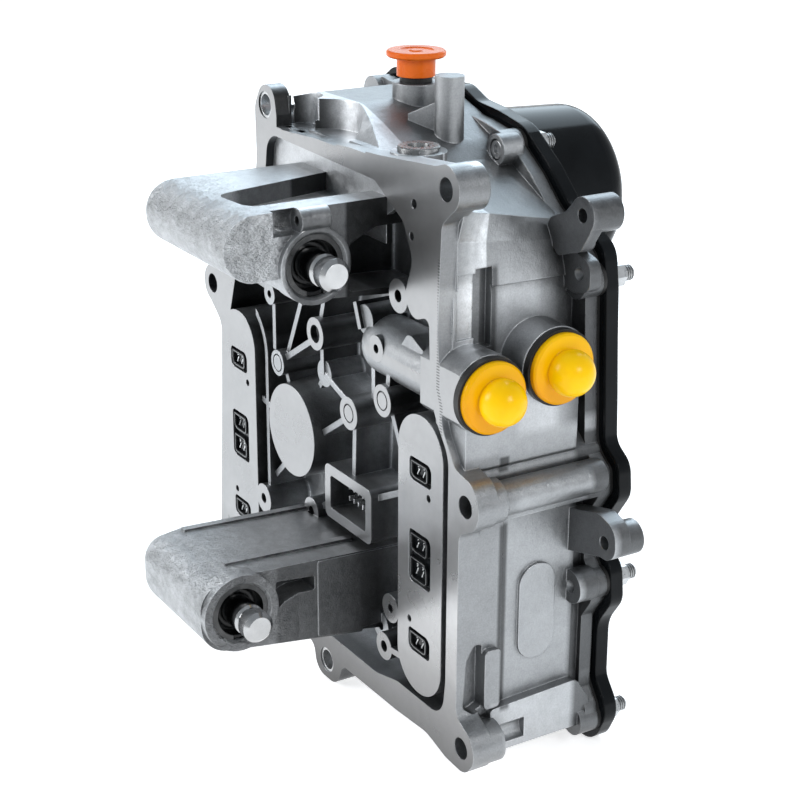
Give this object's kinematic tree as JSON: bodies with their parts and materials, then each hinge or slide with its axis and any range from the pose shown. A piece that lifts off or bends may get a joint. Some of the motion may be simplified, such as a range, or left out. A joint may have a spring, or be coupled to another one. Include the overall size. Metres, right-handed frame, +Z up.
{
  "type": "transmission valve body",
  "caption": "Cast electro-hydraulic gearbox control unit with two spring-returned clutch plungers on arms, sensor lands, ribbed front, rear cover with a round dome and yellow port caps.",
  "frame": {"origin": "On the front mounting face, at the middle of the case's width and the middle of its lower rim beam", "axes": "+Z up along the case, +X towards the side with the two yellow caps and the plunger rods, -Y out of the mounting face towards the gearbox, +Y towards the rear cover"},
  "size_m": [0.2388, 0.1937, 0.2646],
  "materials": {
    "cast_aluminium": "satin as cast",
    "black_cover": "gloss black",
    "black_rubber": "matt",
    "zinc_steel": "zinc plated",
    "polished_steel": "polished",
    "spring_steel": "oiled",
    "orange_plastic": "gloss",
    "yellow_plastic": "gloss",
    "black_plastic": "semi-gloss",
    "contact_metal": "bright",
    "machined_aluminium": "machined"
  },
  "bodies": {
    "case": {"valve_housing": "cast_aluminium", "rear_cover": "black_cover", "cover_gasket": "black_rubber", "cover_studs": "zinc_steel", "cover_washers": "zinc_steel", "cover_nuts": "zinc_steel", "breather_cap": "orange_plastic", "breather_ring": "black_rubber", "blanking_plug": "zinc_steel", "locking_screw": "zinc_steel", "dowel_sleeves": "zinc_steel", "unit_connector": "black_plastic", "connector_blades": "contact_metal", "channel_plate": "machined_aluminium", "plate_screws": "zinc_steel", "solenoid_valves": "black_plastic", "accumulator": "machined_aluminium", "accumulator_clamp": "zinc_steel", "pump_motor": "zinc_steel", "upper_return_spring": "spring_steel", "upper_rod_guide": "black_plastic", "upper_retaining_clip": "spring_steel", "lower_return_spring": "spring_steel", "lower_rod_guide": "black_plastic", "lower_retaining_clip": "spring_steel", "front_side_plug": "yellow_plastic", "front_plug_seal": "black_rubber", "rear_side_plug": "yellow_plastic", "rear_plug_seal": "black_rubber", "right_sensor_insert": "black_plastic", "right_contacts": "contact_metal", "left_sensor_insert": "black_plastic", "left_contacts": "contact_metal"},
    "upper_plunger_body": {"upper_plunger": "polished_steel", "upper_piston_seal": "black_rubber"},
    "lower_plunger_body": {"lower_plunger": "polished_steel", "lower_piston_seal": "black_rubber"},
    "front_selector_body": {"front_selector_piston": "polished_steel"},
    "rear_selector_body": {"rear_selector_piston": "polished_steel"}
  },
  "joints": [
    {"name": "upper_plunger_slide", "type": "slide", "parent": "case", "child": "upper_plunger_body", "axis": [1, 0, 0], "range_m": [-0.012, 0], "stiffness_N_per_m": 800, "springref_m": 0.012, "deforming": ["upper_return_spring"]},
    {"name": "lower_plunger_slide", "type": "slide", "parent": "case", "child": "lower_plunger_body", "axis": [1, 0, 0], "range_m": [-0.012, 0], "stiffness_N_per_m": 800, "springref_m": 0.012, "deforming": ["lower_return_spring"]},
    {"name": "front_selector_slide", "type": "slide", "parent": "case", "child": "front_selector_body", "axis": [1, 0, 0], "range_m": [-0.006, 0.006]},
    {"name": "rear_selector_slide", "type": "slide", "parent": "case", "child": "rear_selector_body", "axis": [1, 0, 0], "range_m": [-0.006, 0.006]}
  ]
}
